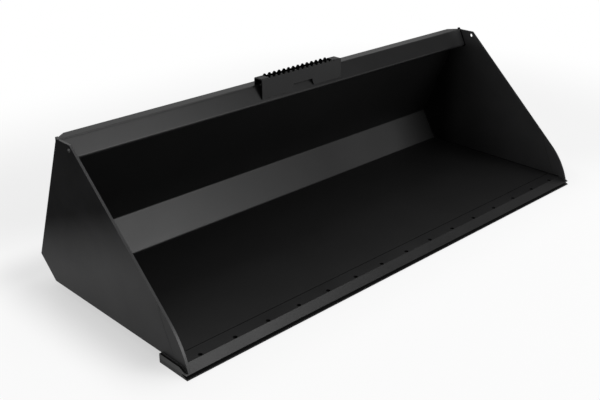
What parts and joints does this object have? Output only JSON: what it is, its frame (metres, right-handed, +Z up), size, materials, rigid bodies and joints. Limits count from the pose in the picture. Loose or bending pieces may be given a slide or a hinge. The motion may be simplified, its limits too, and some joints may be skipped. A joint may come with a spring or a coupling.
{
  "type": "skid steer loader bucket",
  "caption": "Wide utility loader bucket with a folded shell, sloping side plates, a top rail with a serrated step, a bolt-on edge and a quick-attach plate behind.",
  "frame": {"origin": "on the ground under the middle of the bounding box", "axes": "+X runs across the bucket, to the right for someone who faces the open front's back plate; +Y runs from the cutting edge to the quick-attach plate; +Z up"},
  "size_m": [2.324, 1.0034, 0.6825],
  "materials": {
    "body_paint": "satin near-black paint on the shell, side plates, heel and skids",
    "rail_paint": "satin near-black paint on the folded top rail",
    "step_paint": "satin near-black paint, thinner on the teeth",
    "edge_paint": "satin near-black paint on rolled edge bars",
    "mount_paint": "satin near-black paint on the quick-attach plate and ribs",
    "bolt_steel": "black bolts, painted over with the edge"
  },
  "bodies": {
    "root": {"shell": "body_paint", "side_plate_left": "body_paint", "side_plate_right": "body_paint", "side_cutter_left": "body_paint", "side_cutter_right": "body_paint", "heel_plate": "body_paint", "skid_bar_1": "body_paint", "skid_bar_2": "body_paint", "skid_bar_3": "body_paint", "skid_bar_4": "body_paint", "skid_bar_5": "body_paint", "skid_bar_6": "body_paint", "base_edge": "edge_paint", "bolt_on_edge": "edge_paint", "plow_bolts": "bolt_steel", "top_rail": "rail_paint", "serrated_step": "step_paint", "mount_plate": "mount_paint", "hook_lip": "mount_paint", "hook_end_left": "mount_paint", "hook_end_right": "mount_paint", "lower_lip": "mount_paint", "back_rib_1": "mount_paint", "back_rib_2": "mount_paint", "back_rib_3": "mount_paint", "back_rib_4": "mount_paint"}
  },
  "joints": []
}
